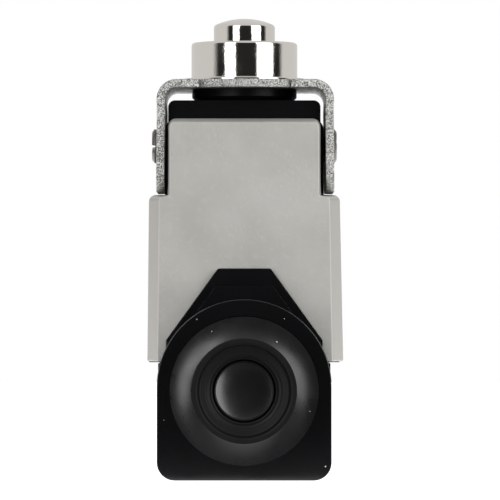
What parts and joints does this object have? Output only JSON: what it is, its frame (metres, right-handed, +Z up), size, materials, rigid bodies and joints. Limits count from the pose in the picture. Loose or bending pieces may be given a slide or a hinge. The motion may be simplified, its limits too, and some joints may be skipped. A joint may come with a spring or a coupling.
{
  "type": "plunger limit switch",
  "caption": "Compact plunger limit switch: black housing with grey cover, steel yoke head, domed metal plunger, rubber cable entry and double-break contacts.",
  "frame": {"origin": "on the foot's plane, where the plunger's axis meets it", "axes": "+Z up along the plunger, -Y out of the cable entry, +X across the width"},
  "size_m": [0.031, 0.047, 0.0733],
  "materials": {
    "black_plastic": "satin black moulding",
    "grey_plastic": "soft satin grey moulding",
    "galvanised_steel": "zinc-coated, finely speckled",
    "nickel": "polished nickel plate",
    "black_rubber": "matt black rubber",
    "brass": "bare brass",
    "zinc_screw": "zinc-plated",
    "spring_steel": "drawn wire",
    "block_plastic": "dark thermoset moulding",
    "white_plastic": "natural nylon",
    "silver": "silver contact face"
  },
  "bodies": {
    "housing": {"base_housing": "black_plastic", "front_cover": "grey_plastic", "cover_gasket": "black_rubber", "head_yoke": "galvanised_steel", "yoke_screws": "zinc_screw", "yoke_inserts": "brass", "plunger_bushing": "nickel", "head_collar": "black_rubber", "bushing_nut": "zinc_screw", "wiper_ring": "black_rubber", "return_spring": "spring_steel", "rod_seal": "black_rubber", "gland_cap": "black_plastic", "cable_bushing": "black_rubber", "thrust_ring": "white_plastic", "blanking_plug": "black_rubber", "mounting_sleeves": "zinc_screw", "block_rear": "block_plastic", "block_front": "block_plastic", "block_screws": "zinc_screw", "nc_terminal_left": "brass", "nc_terminal_right": "brass", "no_terminal_left": "brass", "no_terminal_right": "brass", "fixed_tips": "silver", "terminal_clamps": "zinc_screw", "terminal_screws": "zinc_screw"},
    "plunger": {"plunger": "nickel", "push_rod": "zinc_screw", "contact_slider": "white_plastic", "nc_bridge": "brass", "nc_bridge_tips": "silver", "nc_contact_spring": "spring_steel", "no_contact_spring": "spring_steel"},
    "no_contact": {"no_bridge": "brass", "no_bridge_tips": "silver"}
  },
  "joints": [
    {"name": "plunger", "type": "slide", "parent": "housing", "child": "plunger", "axis": [0, 0, -1], "range_m": [0, 0.0035], "stiffness_N_per_m": 900, "springref_m": -0.008, "deforming": ["return_spring"]},
    {"name": "no_bridge_lift", "type": "slide", "parent": "plunger", "child": "no_contact", "axis": [0, 0, 1], "range_m": [0, 0.00052], "deforming": ["no_contact_spring"]}
  ],
  "couplings": [
    {"joint": "no_bridge_lift", "follows": "plunger", "ratio": 0.1485}
  ]
}
